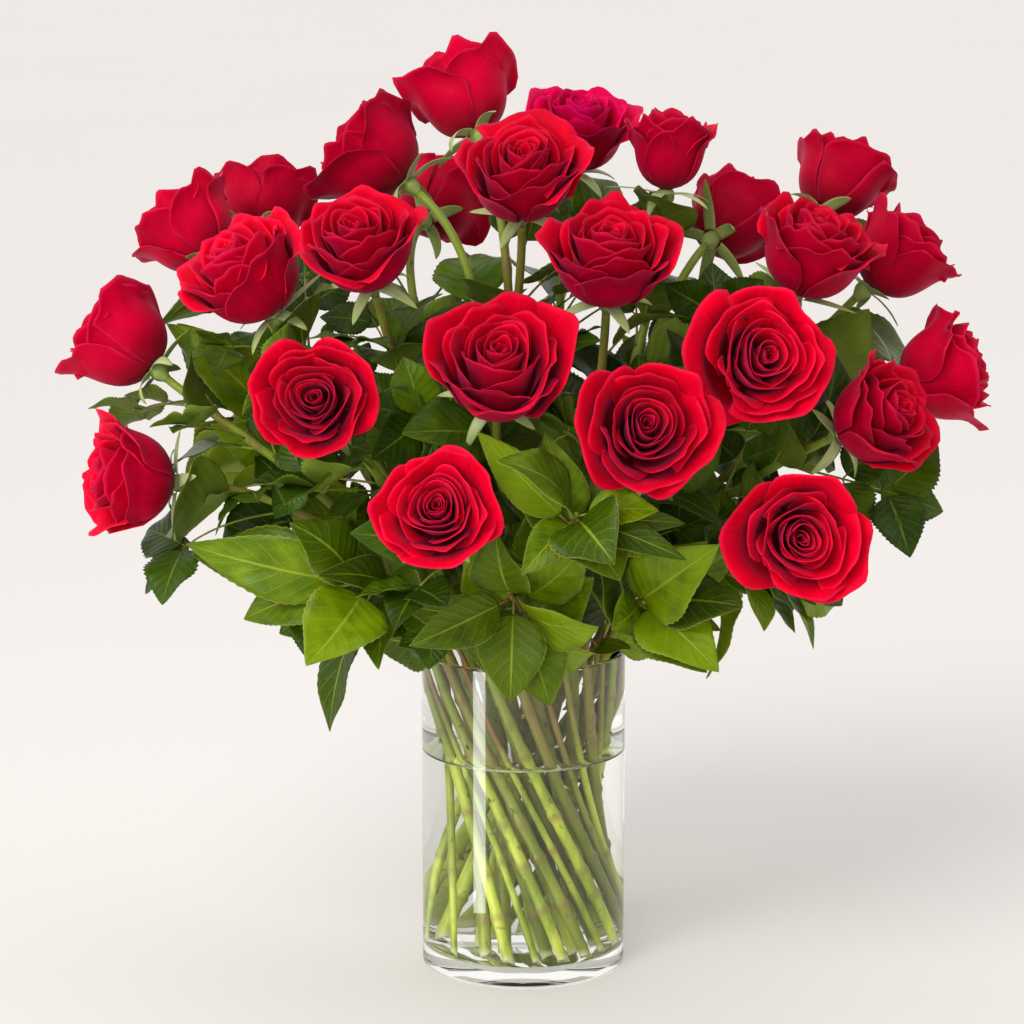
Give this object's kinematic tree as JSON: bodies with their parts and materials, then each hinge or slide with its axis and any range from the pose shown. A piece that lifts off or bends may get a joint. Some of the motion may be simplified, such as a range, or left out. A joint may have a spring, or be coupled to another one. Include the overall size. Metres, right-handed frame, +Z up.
{
  "type": "roses in a vase",
  "caption": "Full bouquet of long-stemmed red roses with glossy green leaves, standing in a clear glass cylinder vase part filled with water.",
  "frame": {"origin": "centre of the underside of the glass, on the surface it stands on", "axes": "+Z up, -Y towards the viewer of the reference view, +X to that viewer's right"},
  "size_m": [0.5858, 0.4136, 0.5767],
  "materials": {
    "vase_glass": "clear, polished",
    "water": "clear, still",
    "petal": "velvety, matt",
    "rose_green": "satin",
    "spray_green": "glossy"
  },
  "bodies": {
    "root": {"vase": "vase_glass", "water": "water", "rose_01_bloom": "petal", "rose_02_bloom": "petal", "rose_03_bloom": "petal", "rose_04_bloom": "petal", "rose_05_bloom": "petal", "rose_06_bloom": "petal", "rose_07_bloom": "petal", "rose_08_bloom": "petal", "rose_09_bloom": "petal", "rose_10_bloom": "petal", "rose_11_bloom": "petal", "rose_12_bloom": "petal", "rose_13_bloom": "petal", "rose_14_bloom": "petal", "rose_15_bloom": "petal", "rose_16_bloom": "petal", "rose_17_bloom": "petal", "rose_18_bloom": "petal", "rose_19_bloom": "petal", "rose_20_bloom": "petal", "rose_21_bloom": "petal", "rose_22_bloom": "petal", "rose_23_bloom": "petal", "rose_24_bloom": "petal", "rose_25_bloom": "petal", "rose_01_stem": "rose_green", "rose_02_stem": "rose_green", "rose_03_stem": "rose_green", "rose_04_stem": "rose_green", "rose_05_stem": "rose_green", "rose_06_stem": "rose_green", "rose_07_stem": "rose_green", "rose_08_stem": "rose_green", "rose_09_stem": "rose_green", "rose_10_stem": "rose_green", "rose_11_stem": "rose_green", "rose_12_stem": "rose_green", "rose_13_stem": "rose_green", "rose_14_stem": "rose_green", "rose_15_stem": "rose_green", "rose_16_stem": "rose_green", "rose_17_stem": "rose_green", "rose_18_stem": "rose_green", "rose_19_stem": "rose_green", "rose_20_stem": "rose_green", "rose_21_stem": "rose_green", "rose_22_stem": "rose_green", "rose_23_stem": "rose_green", "rose_24_stem": "rose_green", "rose_25_stem": "rose_green", "spray_1": "spray_green", "spray_2": "spray_green", "spray_3": "spray_green", "spray_4": "spray_green", "spray_5": "spray_green", "spray_6": "spray_green", "spray_7": "spray_green", "spray_8": "spray_green"}
  },
  "joints": []
}
